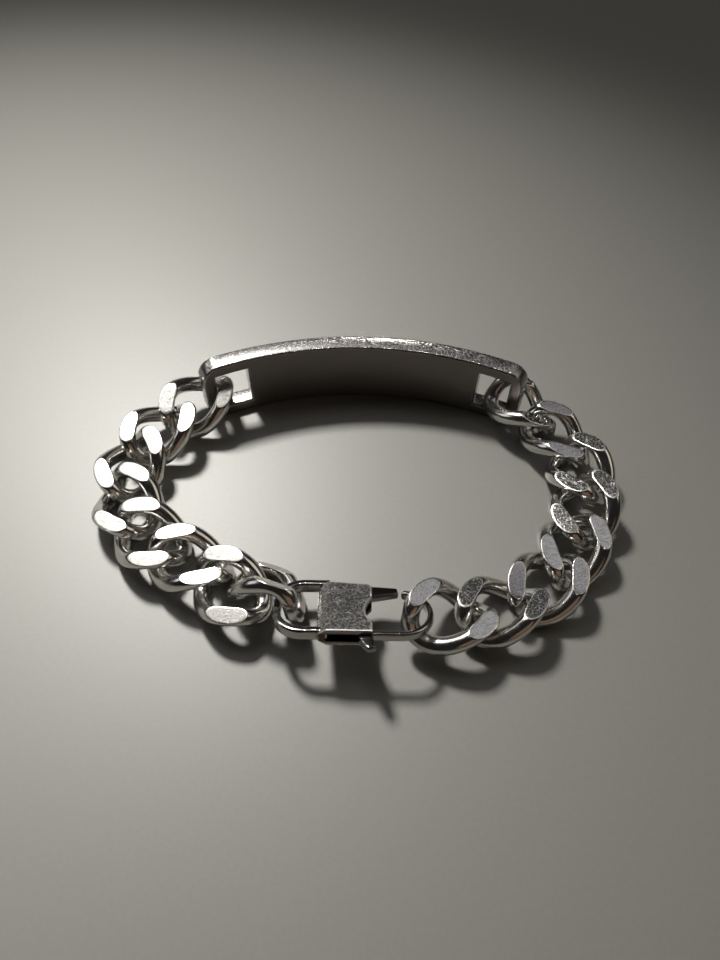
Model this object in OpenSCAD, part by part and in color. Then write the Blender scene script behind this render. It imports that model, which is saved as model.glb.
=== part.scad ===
// Identity bracelet in polished stainless steel, lying fastened on a table.
// A curved name plate stands on its long edge at the back, concave face
// forward. Eight ground curb links run from each end of it round to a flat
// clasp in front. +X is right, +Y is back, +Z is up, in millimetres.
// The origin is on the table under the middle of the bracelet.

/* [Name plate] */
// Width of the plate, which is its height as it stands on edge
plate_w = 12; // [11:0.5:13]
// Thickness of the plate
plate_t = 3.2; // [2.8:0.1:3.4]
// Radius of the plate's concave face
plate_inner_r = 57.2; // [57:0.1:57.4]
// Length of the plain middle between the two slots, along the curve
plate_face = 42.2; // [41.4:0.2:42.6]
// Length of each slot, along the curve
slot_len = 6; // [5.8:0.1:6.2]
// Height of each slot
slot_h = 7.6; // [6.8:0.1:8]
// Width of the upright strip at each end, which carries the first link
end_strip = 2.2; // [2:0.1:2.3]
// Radius of the plate's four corners
corner_r = 3; // [1:0.25:3.25]

/* [Curb link] */
// Wire that the links are bent from
wire_d = 2.7; // [2.2:0.1:2.8]
// Length of a link over its wire
link_len = 14.5; // [14.3:0.1:14.7]
// Width of a link over its wire
link_w = 11.5; // [11.2:0.1:11.6]
// Twist of each end out of the link's own plane, in degrees
link_twist = 52; // [50:1:54]
// Height across the two ground faces
ground_h = 4.8; // [4.4:0.1:4.8]
// Squareness of the oval, where 2 is an ellipse
link_square = 2.3; // [2.2:0.1:2.4]
// Distance from link to link along the chain
link_pitch = 8.2; // [8.15:0.05:8.25]

/* [Clasp] */
// Length of the clasp from the end of its bail to the end of its hook
clasp_len = 22.8; // [22.6:0.1:23]
// Width of the clasp
clasp_w = 11; // [10.6:0.2:11.6]
// Thickness of the bail
arm_t = 1.8; // [1.6:0.1:2]
// Thickness of the body, which holds the lever
body_t = 2.8; // [2.6:0.1:3.2]
// Width of the bail's arms, seen from above
bail_arm = 1.2; // [1:0.05:1.4]
// Width of the hook, seen from above
hook_arm = 0.9; // [0.8:0.05:1.1]
// Thickness of the hook
hook_t = 1.4; // [1.2:0.1:1.6]
// Thickness of the lever inside the body
lever_t = 1.1; // [0.9:0.05:1.2]
// Diameter of the pin that the lever turns on
pin_d = 1.1; // [0.9:0.1:1.2]
// Turn of the lever from shut, where a minus value opens it
lever_turn = 0; // [-28:1:0]

/* [Lie of the bracelet] */
// Centre of the plate's curve, left or right of the origin
curve_x = 0.9; // [-5:0.1:5]
// Centre of the plate's curve, in front of the origin or behind it
curve_y = -31.3; // [-40:0.1:-20]
// Height of the first left link's middle above the table
left_start_z = 5.1; // [5.1:0.05:5.2]
// Height of the first right link's middle above the table
right_start_z = 4.3; // [4.3:0.1:4.5]
// Slack between the first left link's wire and its end strip
left_slack = 0.5; // [0.45:0.05:0.6]
// Slack between the first right link's wire and its end strip
right_slack = 1.6; // [1.4:0.1:1.7]

/* [Hidden] */
link_count = 8;
link_rings = 16;
sides = ["left", "right"];
$fn = 64;
eps = 0.05;

// How the chain lies. A row for each link, from the plate outwards.
// heading: which way the link points, in degrees anticlockwise from +X
// lift: how far its outer end is raised, in degrees
// roll: its turn about its own length, in degrees
left_lie = [
    [-134, -6, -14],
    [-132, -4, -4],
    [-102, -6, 2],
    [-69, 0, 7],
    [-39, 0, 7],
    [-23, 0, -6],
    [-47, 0, 10]
];
right_lie = [
    [-42, -10, -12],
    [-55, -3, -6],
    [-84, 6, 11],
    [-107, -4, 10],
    [-119, 1, -6],
    [-139, -1, -7],
    [-160, 2, 10],
    [-173, 11, 1]
];
// The last left link stands steeply in the bail, so it has a place of its own,
// measured from the centre of the plate's curve and from the table
bail_link_lie = [-46, 27, -44];
bail_link_at = [-13.4, 13.6, 4.1];
// The middle of the clasp's width, level with its pin, measured the same way
clasp_lie = [0, 0, -21];
clasp_at = [-0.7, 10, 5.6];

// Sizes that follow from the ones above
plate_mid_r = plate_inner_r + plate_t / 2;
edge_cut = 0.6;
face_half = plate_face / 2 / plate_mid_r * 180 / PI;
slot_turn = slot_len / plate_mid_r * 180 / PI;
strip_turn = end_strip / plate_mid_r * 180 / PI;
end_turn = face_half + slot_turn + strip_turn;
strip_at_turn = face_half + slot_turn + strip_turn / 2;
wire_r = wire_d / 2;
link_a = (link_len - wire_d) / 2;
link_b = (link_w - wire_d) / 2;
ground_r = ground_h / 2;
first_reach = link_a - wire_r - end_strip / 2;

// Places on the clasp, in its own plane: x from the lever's pin towards the
// hook, y from the middle of its width towards the back
half_w = clasp_w / 2;
pivot_y = 2.8;
bail_x = -11.8;
bail_corner = 4.4;
body_x = -5.4;
body_near = -half_w - 0.3;
body_far = half_w - 1.1;
nose = 1.4;
hook_end_x = bail_x + clasp_len;
hook_r = 4.7;
hook_near = -half_w - 0.2;
hook_at = [hook_end_x - hook_r, hook_near + hook_r];
tip_turn = 80;
window_r = 3.85;
window_at = [5.2, -1.5];
root_x = 5.4;
lever_gap = 0.1;
pin_gap = 0.05;
hub_r = 1;
gate_reach = 6.2;

// A direction as a unit vector, from its heading and lift
function aim(lie) = [
    cos(lie[0]) * cos(lie[1]),
    sin(lie[0]) * cos(lie[1]),
    sin(lie[1])
];

function unit(v) = v / norm(v);

// A point at a turn from +Y about the centre of the plate's curve,
// clockwise when the turn is positive
function on_curve(turn, r) = [
    curve_x + r * sin(turn),
    curve_y + r * cos(turn)
];

// Middle of the first link of a side: its end wire lies inside the end strip
function first_middle(side, lie, slack, z) =
    let (strip = on_curve(side * strip_at_turn, plate_mid_r))
    [
        strip[0] + (first_reach - slack) * aim(lie)[0],
        strip[1] + (first_reach - slack) * aim(lie)[1],
        z
    ];

// Middle of link i: half a pitch along the link before it, then half a
// pitch along its own length
function middle(lies, i, first) =
    i == 0
        ? first
        : middle(lies, i - 1, first)
            + link_pitch / 2 * (aim(lies[i - 1]) + aim(lies[i]));

curve_at = [curve_x, curve_y, 0];
left_first = first_middle(-1, left_lie[0], left_slack, left_start_z);
right_first = first_middle(1, right_lie[0], right_slack, right_start_z);
left_places = concat(
    [for (i = [0:len(left_lie) - 1])
        [left_lie[i], middle(left_lie, i, left_first)]],
    [[bail_link_lie, curve_at + bail_link_at]]
);
right_places = [for (i = [0:len(right_lie) - 1])
    [right_lie[i], middle(right_lie, i, right_first)]];

// The wire's centre line at angle t: a squared oval whose two ends are
// twisted opposite ways, which is what lets curb links lie flat
function wire_at(t) =
    let (
        x = link_a * sign(cos(t)) * pow(abs(cos(t)), 2 / link_square),
        side = link_b * sign(sin(t)) * pow(abs(sin(t)), 2 / link_square),
        lean = link_twist * x / link_a
    )
    [x, -side * cos(lean), side * sin(lean)];

// Highest angle on the wire's round that stays under a ground face, where
// room is the height left above the wire's centre
function ground_angle(room) =
    min(60, asin(max(-1, min(1, room / wire_r))));

// Six corners of the wire's section at angle t. The upper and lower pairs
// slide round to the ground faces where grinding has cut them away.
function section(t) =
    let (
        p = wire_at(t),
        along = unit(wire_at(t + 1) - wire_at(t - 1)),
        across = unit(cross(along, [0, 0, 1])),
        up = cross(across, along),
        top = ground_angle((ground_r - p[2]) / up[2]),
        low = ground_angle((ground_r + p[2]) / up[2])
    )
    [for (a = [0, top, 180 - top, 180, 180 + low, 360 - low])
        p + wire_r * (cos(a) * across + sin(a) * up)];

// Closed ring of sections as one surface
module link_solid() {
    sides_n = 6;
    points = [for (i = [0:link_rings - 1])
        each section(360 * i / link_rings)];
    faces = [for (i = [0:link_rings - 1]) for (j = [0:sides_n - 1])
        let (
            next_i = (i + 1) % link_rings,
            next_j = (j + 1) % sides_n
        )
        each [
            [i * sides_n + j, next_i * sides_n + next_j, next_i * sides_n + j],
            [i * sides_n + j, i * sides_n + next_j, next_i * sides_n + next_j]
        ]];
    polyhedron(points = points, faces = faces, convexity = 4);
}

// Puts a thing that points along +X where a lie and a place say
module lay(lie, at) {
    translate(at)
        rotate([lie[2], -lie[1], lie[0]])
            children();
}

module link(place) {
    color("lightsteelblue")
        lay(place[0], place[1])
            link_solid();
}

// A stretch of the plate's curve between two turns from +Y
module curved_bar(from, to, r, depth, z, height) {
    translate([curve_x, curve_y, z])
        rotate([0, 0, 90 - to])
            rotate_extrude(angle = to - from, $fn = 180)
                translate([r, 0])
                    square([depth, height]);
}

// What rounds one end corner of the plate, cut square to its end. Its circle
// reaches just past both edges, so it crosses them instead of touching.
module corner_cut(side, top) {
    reach = plate_t * 2;
    past = 0.03;
    translate(concat(on_curve(side * end_turn, plate_mid_r), [top ? plate_w : 0]))
        rotate([90, 0, -side * end_turn])
            mirror([side < 0 ? 1 : 0, 0, 0])
                mirror([0, top ? 1 : 0, 0])
                    translate([0, 0, -reach / 2])
                        linear_extrude(reach)
                            difference() {
                                translate([-corner_r, -1])
                                    square([corner_r + 1, corner_r + 1]);
                                translate([past - corner_r, corner_r - past])
                                    circle(r = corner_r);
                            }
}

// Slot through one end of the plate. The strip left beyond it has its two
// inner edges taken off, so the link on it has room to turn.
module slot_cut(side) {
    end = face_half + slot_turn;
    flare = (edge_cut + 1) / plate_mid_r * 180 / PI;
    outer_r = plate_inner_r + plate_t;
    corners = [
        [face_half, plate_inner_r - 1],
        [end + flare, plate_inner_r - 1],
        [end, plate_inner_r + edge_cut],
        [end, outer_r - edge_cut],
        [end + flare, outer_r + 1],
        [face_half, outer_r + 1]
    ];
    translate([0, 0, (plate_w - slot_h) / 2])
        linear_extrude(slot_h)
            polygon([for (c = corners) on_curve(side * c[0], c[1])]);
}

module name_plate() {
    color("silver")
        difference() {
            curved_bar(-end_turn, end_turn, plate_inner_r, plate_t, 0, plate_w);
            for (side = [-1, 1]) {
                slot_cut(side);
                for (top = [true, false])
                    corner_cut(side, top);
            }
        }
}

// A flat shape given thickness t about the clasp's middle plane
module plate_of(t) {
    translate([0, 0, -t / 2])
        linear_extrude(t)
            children();
}

// Bail: a rounded loop open at the body
module bail() {
    inner = bail_corner - bail_arm;
    plate_of(arm_t)
        difference() {
            rounded_left(bail_x, body_x + 1.5, clasp_w, bail_corner);
            rounded_left(bail_x + bail_arm, body_x + 2, clasp_w - 2 * bail_arm, inner);
        }
}

// Rectangle from x0 to x1, with its two left corners rounded to r
module rounded_left(x0, x1, width, r) {
    translate([x0 + r, -width / 2])
        square([x1 - x0 - r, width]);
    translate([x0, -width / 2 + r])
        square([r + eps, width - 2 * r]);
    for (y = [-1, 1])
        translate([x0 + r, y * (width / 2 - r)])
            circle(r = r);
}

// Body: a block whose left end is a blunt nose and whose near right corner
// thins towards the hook, before its slot is cut
module body_block() {
    depth = clasp_w + 4;
    intersection() {
        plate_of(body_t) {
            polygon([
                [body_x, body_near], [root_x, body_near], [root_x, -5],
                [3, -3], [3, 0], [2.3, 0.8],
                [2.3, body_far - 1.4], [1.3, body_far - 0.4],
                [body_x + 1, body_far + 0.1], [body_x, body_far - 0.9]
            ]);
            translate([1.3, body_far - 1.4])
                circle(r = 1);
        }
        rotate([90, 0, 0])
            translate([0, 0, -depth / 2])
                linear_extrude(depth)
                    polygon([
                        [body_x, -0.25],
                        [body_x + nose / 3, -body_t / 2 + 0.6],
                        [body_x + nose, -body_t / 2],
                        [2.2, -body_t / 2],
                        [root_x, -hook_t / 2 - 0.05],
                        [root_x, hook_t / 2 + 0.05],
                        [2.2, body_t / 2],
                        [body_x + nose, body_t / 2],
                        [body_x + nose / 3, body_t / 2 - 0.6],
                        [body_x, 0.25]
                    ]);
    }
}

// Hook: a near arm that bends round the end and back to a blunt tip
module hook() {
    mid_r = hook_r - hook_arm / 2;
    plate_of(hook_t) {
        translate([2, hook_near])
            square([hook_at[0] - 2 + eps, hook_arm]);
        translate(hook_at + mid_r * [cos(tip_turn), sin(tip_turn)])
            circle(d = hook_arm);
    }
    translate(concat(hook_at, [-hook_t / 2]))
        rotate([0, 0, -90])
            rotate_extrude(angle = 90 + tip_turn)
                translate([hook_r - hook_arm, 0])
                    square([hook_arm, hook_t]);
}

// The slot that the lever swings in, open to the near side and the hook
module lever_slot() {
    plate_of(lever_t + 2 * lever_gap)
        polygon([
            [-4.3, -8], [3, -8], [3, -3.4], [5, -3.4], [5, 6],
            [0.4, 6], [0.4, pivot_y + hub_r + 0.15],
            [-1.3, pivot_y + hub_r + 0.15], [-1.9, 2.4], [-4.3, -3]
        ]);
}

module clasp_body() {
    color("gainsboro")
        lay(clasp_lie, curve_at + clasp_at) {
            difference() {
                union() {
                    bail();
                    difference() {
                        body_block();
                        translate(concat(window_at, [-body_t]))
                            cylinder(r = window_r, h = 2 * body_t);
                    }
                    hook();
                }
                lever_slot();
            }
            translate([0, pivot_y, -body_t / 2 + 0.2])
                cylinder(d = pin_d, h = body_t - 0.4);
        }
}

// Lever: a hub on the pin, a gate that shuts the hook, and a trigger
module clasp_lever() {
    color("darkgray")
        lay(clasp_lie, curve_at + clasp_at)
            translate([0, pivot_y, 0])
                rotate([0, 0, lever_turn])
                    difference() {
                        union() {
                            cylinder(r = hub_r, h = lever_t, center = true);
                            plate_of(lever_t)
                                lever_outline();
                        }
                        translate([0, 0, -body_t])
                            cylinder(d = pin_d + 2 * pin_gap, h = 2 * body_t);
                    }
}

// Side of the hub, then the gate with its tip rounded about the pin, then the
// trigger, which tapers and leans towards the hook
module lever_outline() {
    gate_tip = [for (turn = [13, 7, 1])
        gate_reach * [cos(turn), sin(turn)]];
    polygon(concat(
        [[-0.8, 0.3], [0.3, 0.9], [1.2, 1.5], [2.4, 1.7]],
        gate_tip,
        [
            [4.2, -0.4], [2.2, -0.9], [1.2, -1.4], [1.2, -5], [1.9, -7],
            [2.7, -9], [3.1, -10.7], [1.6, -11], [0.4, -9], [-0.7, -4]
        ]
    ));
}

name_plate();
for (i = [0:link_count - 1]) {
    link(left_places[i]);
    link(right_places[i]);
}
clasp_body();
clasp_lever();
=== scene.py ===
# %% [markdown]
# # A steel identity bracelet
#
# The real thing is a man's bracelet: a curved name plate, two runs of ground curb
# links and a flat clasp with a sprung lever. This lesson dresses the solid model of
# it. Every shape below is a function of two parameters, worked out as whole arrays,
# so that one idea is learned once and used for links, plate and clasp.

import math

import bmesh
import bpy
import numpy as np
from mathutils import Euler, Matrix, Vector


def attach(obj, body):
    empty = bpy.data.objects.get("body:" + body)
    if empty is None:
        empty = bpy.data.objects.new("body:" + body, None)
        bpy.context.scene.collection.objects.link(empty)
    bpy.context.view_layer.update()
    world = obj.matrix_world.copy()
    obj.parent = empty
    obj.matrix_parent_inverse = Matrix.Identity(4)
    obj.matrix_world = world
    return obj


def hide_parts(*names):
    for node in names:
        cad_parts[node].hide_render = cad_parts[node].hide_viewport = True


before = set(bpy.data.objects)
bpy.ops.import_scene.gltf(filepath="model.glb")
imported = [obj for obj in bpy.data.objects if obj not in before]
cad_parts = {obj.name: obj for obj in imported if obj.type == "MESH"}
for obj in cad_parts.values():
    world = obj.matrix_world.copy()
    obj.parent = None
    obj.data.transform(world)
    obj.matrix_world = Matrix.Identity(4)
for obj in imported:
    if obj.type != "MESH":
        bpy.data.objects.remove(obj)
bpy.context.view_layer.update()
MM = 0.001

# %% [markdown]
# ## Turning arrays into closed pieces
#
# A shell is a grid of points. Rows may close into a ring, and so may columns, which
# gives a sheet, a tube or a torus. Bmesh could make the same things step by step, but
# a whole array of points is shorter and can be measured before it becomes a mesh.
# Each finished piece is welded, and its volume says whether its faces point outwards.


# %% Grids, rings and caps
def grid_faces(rows, columns, ring_rows=False, ring_columns=False):
    """Quads between neighbours of a rows by columns grid. A ring joins its last to its first."""
    r = np.arange(rows if ring_rows else rows - 1)[:, None]
    c = np.arange(columns if ring_columns else columns - 1)[None, :]
    r2 = (r + 1) % rows
    c2 = (c + 1) % columns
    corners = [r * columns + c, r * columns + c2, r2 * columns + c2, r2 * columns + c]
    return np.stack(np.broadcast_arrays(*corners), -1).reshape(-1, 4).tolist()


def tube(points, closed, ends=True):
    """Skin over a rows by columns by 3 array whose every row is a ring. Open tubes get an end cap."""
    rows, columns = points.shape[:2]
    faces = grid_faces(rows, columns, ring_rows=closed, ring_columns=True)
    if ends and not closed:
        first = list(range(columns))
        faces.append(first[::-1])
        faces.append([(rows - 1) * columns + i for i in first])
    return points.reshape(-1, 3), faces


def volume_of(points, faces):
    """Sum of the tetrahedra between the origin and each face, split as a fan from its first corner."""
    total = 0.0
    by_size = {}
    for face in faces:
        by_size.setdefault(len(face), []).append(face)
    for size, group in by_size.items():
        p = points[np.array(group)]
        for k in range(1, size - 1):
            total += np.einsum("ij,ij->i", p[:, 0], np.cross(p[:, k], p[:, k + 1])).sum() / 6
    return total


# %% Make a piece
def make_piece(name, shells, material, node, body, marks=None, crease=38):
    """One object from closed shells in millimetres. Marks are numbers kept at its points, by name."""
    points, faces, start = [], [], 0
    for shell_points, shell_faces in shells:
        turned_out = volume_of(shell_points, shell_faces) > 0
        for face in shell_faces:
            ids = [start + i for i in face]
            faces.append(ids if turned_out else ids[::-1])
        points.append(shell_points)
        start += len(shell_points)
    mesh = bpy.data.meshes.new(name)
    mesh.from_pydata((np.concatenate(points) * MM).tolist(), [], faces)
    for mark, values in (marks or {}).items():
        mesh.attributes.new(mark, "FLOAT", "POINT").data.foreach_set("value", values.ravel())
    work = bmesh.new()
    work.from_mesh(mesh)
    bmesh.ops.remove_doubles(work, verts=work.verts, dist=1e-7)
    volume = work.calc_volume() / MM**3
    work.to_mesh(mesh)
    work.free()
    mesh.shade_smooth()
    mesh.set_sharp_from_angle(angle=math.radians(crease))
    mesh.materials.append(material)
    piece = bpy.data.objects.new(name, mesh)
    bpy.context.scene.collection.objects.link(piece)
    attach(piece, body)
    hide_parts(node)
    print(f"{name}: {len(mesh.polygons)} faces, {volume:.1f} mm3")
    return piece


# %% [markdown]
# ## Colours and nodes
#
# Colours are written as the sRGB hex values that a screen shows, and shaders work in
# linear light, so one function turns the first into the second. One small function
# adds a node with its settings and links, which keeps each material readable.


# %% Colour and node helpers
def linear(hex_colour):
    """sRGB hex to linear RGBA, by the standard curve."""
    channels = [int(hex_colour[i : i + 2], 16) / 255 for i in (1, 3, 5)]
    return [c / 12.92 if c <= 0.04045 else ((c + 0.055) / 1.055) ** 2.4 for c in channels] + [1]


def add_node(tree, kind, inputs=None, **settings):
    """A new node. Settings are its properties, and inputs are values or other nodes' sockets."""
    node = tree.nodes.new(kind)
    for key, value in settings.items():
        setattr(node, key, value)
    for key, value in (inputs or {}).items():
        if isinstance(value, bpy.types.NodeSocket):
            tree.links.new(value, node.inputs[key])
        else:
            node.inputs[key].default_value = value
    return node


def new_material(name):
    """An empty node material, its tree, its shader and its place in Object coordinates."""
    material = bpy.data.materials.new(name)
    material.use_nodes = True
    tree = material.node_tree
    shader = tree.nodes["Principled BSDF"]
    place = tree.nodes.new("ShaderNodeTexCoord").outputs["Object"]
    return material, tree, shader, place


# %% [markdown]
# ## Stainless steel and its wear
#
# The metal is 316L stainless steel, a pale grey that is neither blue nor yellow. Years
# of wear leave fine scratches in every direction and small dull pits. Both could be
# modelled, but they are far finer than the mesh, so noise makes them. A scratch is a
# noise field stretched along its heading, and its line is where the field crosses its
# middle value. Real hairlines are about 0.02 mm wide, and so are these: the median
# measures 0.02 mm on the links and the plate, and 0.025 mm on the clasp. A pixel of the
# picture covers 0.17 mm, so each is only a faint thread. Pits that fine wouldn't show,
# so they are drawn coarser, as spots of a quarter of a millimetre. Dull marks catch the
# lamp where the flat is dark, and look darker where the flat mirrors it. The IOR stays
# at its default, because a metal's colour, not its IOR, sets how much it mirrors.


# %% Scratches and pits
SCRATCH_SPACING = 0.8 * MM
SCRATCH_LENGTH = 3.5 * MM
SCRATCH_TILT = (0.2, 0.1)
PIT_SIZE = 0.28 * MM
PIT_EDGE = 0.52
PIT_MIDDLE = 0.64
PIT_RELIEF = 1.2
WEAR_DEPTH = 0.02 * MM


def scratches(tree, place, heading, thin):
    """Lines where stretched noise crosses its middle value, 1 on a line and 0 off it."""
    turned = add_node(
        tree,
        "ShaderNodeMapping",
        {"Vector": place, "Rotation": (*SCRATCH_TILT, math.radians(heading))},
        vector_type="TEXTURE",
    )
    stretch = (1 / SCRATCH_LENGTH, 1 / SCRATCH_SPACING, 1 / SCRATCH_SPACING)
    stretched = add_node(
        tree, "ShaderNodeVectorMath", {0: turned.outputs[0], 1: stretch}, operation="MULTIPLY"
    )
    noise = add_node(
        tree, "ShaderNodeTexNoise", {"Vector": stretched.outputs[0], "Scale": 1.0, "Detail": 1.0}
    )
    return add_node(
        tree, "ShaderNodeMath", {0: noise.outputs["Fac"], 1: 0.5, 2: thin}, operation="COMPARE"
    ).outputs[0]


def crossed_scratches(tree, place, headings, thin):
    """Scratches of several headings, the stronger one at each point."""
    fields = [scratches(tree, place, heading, thin) for heading in headings]
    total = fields[0]
    for field in fields[1:]:
        total = add_node(tree, "ShaderNodeMath", {0: total, 1: field}, operation="MAXIMUM").outputs[0]
    return total


def pit_noise(tree, place):
    """Rough noise as coarse as the pits, where a high value is inside a pit."""
    return add_node(
        tree,
        "ShaderNodeTexNoise",
        {"Vector": place, "Scale": 1 / PIT_SIZE, "Detail": 3.0, "Roughness": 0.8},
    ).outputs["Fac"]


def worn_roughness(tree, lines, pits, base, rise):
    """Roughness: base, plus rise times the stronger of the scratch lines and the pits' middles."""
    dull = add_node(
        tree, "ShaderNodeMapRange", {"Value": pits, "From Min": PIT_EDGE, "From Max": PIT_MIDDLE}
    ).outputs[0]
    marks = add_node(tree, "ShaderNodeMath", {0: dull, 1: lines}, operation="MAXIMUM").outputs[0]
    return add_node(
        tree, "ShaderNodeMath", {0: marks, 1: rise, 2: base}, operation="MULTIPLY_ADD"
    ).outputs[0]


def worn_relief(tree, lines, pits):
    """Height for the bump: the scratch lines, plus the pits' noise times its share of the relief."""
    return add_node(
        tree, "ShaderNodeMath", {0: pits, 1: PIT_RELIEF, 2: lines}, operation="MULTIPLY_ADD"
    ).outputs[0]


# %% [markdown]
# ## Link steel
#
# A link's wire is drawn, bent, soldered and tumbled, which leaves a bright satin skin
# with a slight ripple that bends the streaks of light. Then both faces are ground, so
# its flats are flatter and brighter than the wire, with a rubbed rim that catches the
# light all round. Two materials would meet in a hard line along the faces of the mesh,
# so one material mixes them by a number at each point, the cut depth in millimetres:
# how far the round wire would have risen above the ground face. It is 0 on the wire,
# small at the rim and largest in the middle of a flat.


# %% Link steel
RIPPLE_SIZE = 2.38 * MM
RIPPLE_DEPTH = 0.03 * MM
CLOUD_SIZE = 1.11 * MM
WIRE_END = 0.04
RIM_END = 0.1
FLAT_MIDDLE = 0.24
RIM_ROUGHNESS = 0.3


def link_steel():
    """Tumbled wire, ground flats with dull specks and scratches, and a rubbed rim between them."""
    material, tree, shader, place = new_material("tumbled_and_ground_steel")
    cut = add_node(tree, "ShaderNodeAttribute", attribute_name="cut_depth").outputs["Fac"]
    flat = add_node(tree, "ShaderNodeMapRange", {"Value": cut, "From Max": WIRE_END}).outputs[0]
    inner = add_node(
        tree, "ShaderNodeMapRange", {"Value": cut, "From Min": RIM_END, "From Max": FLAT_MIDDLE}
    ).outputs[0]
    lines = crossed_scratches(tree, place, headings=(25, 70, 128, 165), thin=0.004)
    pits = pit_noise(tree, place)
    flat_rough = worn_roughness(tree, lines, pits, base=0.13, rise=0.18)
    cloud = add_node(
        tree,
        "ShaderNodeTexNoise",
        {"Vector": place, "Scale": 1 / CLOUD_SIZE, "Detail": 4.0, "Roughness": 0.7},
    ).outputs["Fac"]
    wire_rough = add_node(
        tree,
        "ShaderNodeMapRange",
        {"Value": cloud, "From Min": 0.3, "From Max": 0.7, "To Min": 0.13, "To Max": 0.24},
    ).outputs[0]
    rim_rough = add_node(
        tree,
        "ShaderNodeMix",
        {"Factor": inner, "A": RIM_ROUGHNESS, "B": flat_rough},
        data_type="FLOAT",
    ).outputs[0]
    rough = add_node(
        tree, "ShaderNodeMix", {"Factor": flat, "A": wire_rough, "B": rim_rough}, data_type="FLOAT"
    ).outputs[0]
    relief = worn_relief(tree, lines, pits)
    on_flat = add_node(tree, "ShaderNodeMath", {0: relief, 1: flat}, operation="MULTIPLY").outputs[0]
    ripple = add_node(
        tree, "ShaderNodeTexNoise", {"Vector": place, "Scale": 1 / RIPPLE_SIZE, "Detail": 2.0}
    ).outputs["Fac"]
    swell = add_node(
        tree, "ShaderNodeBump", {"Height": ripple, "Strength": 0.25, "Distance": RIPPLE_DEPTH}
    ).outputs[0]
    worn = add_node(
        tree,
        "ShaderNodeBump",
        {"Height": on_flat, "Strength": 0.7, "Distance": WEAR_DEPTH, "Normal": swell},
    ).outputs[0]
    tree.links.new(rough, shader.inputs["Roughness"])
    tree.links.new(worn, shader.inputs["Normal"])
    shader.inputs["Base Color"].default_value = linear("#d4d2ce")
    shader.inputs["Metallic"].default_value = 1.0
    return material


LINK_STEEL = link_steel()
print(LINK_STEEL.name, len(LINK_STEEL.node_tree.nodes), "nodes")

# %% [markdown]
# ## Plate steel
#
# The plate is cut from a strip that was brushed along its length, so its faces are a
# satin that mirrors nothing sharply. Their tint is darker and browner than the edges':
# painted shade, for the shadowed floor in front of the plate that the faces mirror. Its
# edges are polished and rub on sleeves and tables, so they are smoother, lighter and full
# of specks. The edges could be faces of their own with a second material, but the change
# is soft, so a number that is 1 along the edges mixes the two finishes and the two tints.
# The brushing is noise with long narrow cells.


# %% Plate steel
GRAIN_LENGTH = 16.7 * MM
GRAIN_WIDTH = 0.2 * MM


def plate_steel():
    """Brushed satin faces tinted darker and browner as painted shade, and long edges, lighter and
    speckled by wear.
    """
    material, tree, shader, place = new_material("brushed_plate_steel_with_painted_shade")
    edge = add_node(tree, "ShaderNodeAttribute", attribute_name="edge").outputs["Fac"]
    lines = crossed_scratches(tree, place, headings=(5, 48, 96, 150), thin=0.004)
    pits = pit_noise(tree, place)
    stretched = add_node(
        tree,
        "ShaderNodeVectorMath",
        {0: place, 1: (1 / GRAIN_LENGTH, 1 / GRAIN_LENGTH, 1 / GRAIN_WIDTH)},
        operation="MULTIPLY",
    ).outputs[0]
    grain = add_node(
        tree, "ShaderNodeTexNoise", {"Vector": stretched, "Scale": 1.0, "Detail": 3.0}
    ).outputs["Fac"]
    face_rough = add_node(
        tree,
        "ShaderNodeMapRange",
        {"Value": grain, "From Min": 0.3, "From Max": 0.7, "To Min": 0.36, "To Max": 0.5},
    ).outputs[0]
    edge_rough = worn_roughness(tree, lines, pits, base=0.2, rise=0.12)
    rough = add_node(
        tree, "ShaderNodeMix", {"Factor": edge, "A": face_rough, "B": edge_rough}, data_type="FLOAT"
    ).outputs[0]
    # Painted shade: the faces' colour (A) is darker and browner than the edges' (B), for the shadowed
    # floor that the faces mirror.
    tint = add_node(tree, "ShaderNodeMix", data_type="RGBA")
    tree.links.new(edge, tint.inputs["Factor"])
    tint.inputs["A"].default_value = linear("#7c7671")
    tint.inputs["B"].default_value = linear("#989694")
    bump = add_node(
        tree,
        "ShaderNodeBump",
        {"Height": worn_relief(tree, lines, pits), "Strength": 0.4, "Distance": WEAR_DEPTH},
    ).outputs[0]
    tree.links.new(tint.outputs["Result"], shader.inputs["Base Color"])
    tree.links.new(rough, shader.inputs["Roughness"])
    tree.links.new(bump, shader.inputs["Normal"])
    shader.inputs["Metallic"].default_value = 1.0
    return material


PLATE_STEEL = plate_steel()
print(PLATE_STEEL.name, len(PLATE_STEEL.node_tree.nodes), "nodes")

# %% [markdown]
# ## Clasp steel
#
# The clasp is cast and tumbled, and it is the piece that rubs on every desk, so its
# top is grey with crossed scratches and its rims are dulled. The bars of the bail and
# the hook stay polished, because links slide on them. The walls all round the body, its
# outer walls and the lever's slot, are painted dark brown: painted shade and reflection,
# for the shadowed floor and warm surroundings that they mirror. A material for each part
# would show where one ends, so three marks on the mesh say which part is which. The
# lever is polished all over and is given a darker colour than the clasp, as painted
# shade, so it has a plainer material of its own.


# %% Clasp and lever steel
CLASP_SCRATCHES = (12, 58, 101, 149)
POLISHED_ROUGHNESS = 0.14
POLISHED_RELIEF = 0.15
RIM_RISE = 0.16


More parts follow.
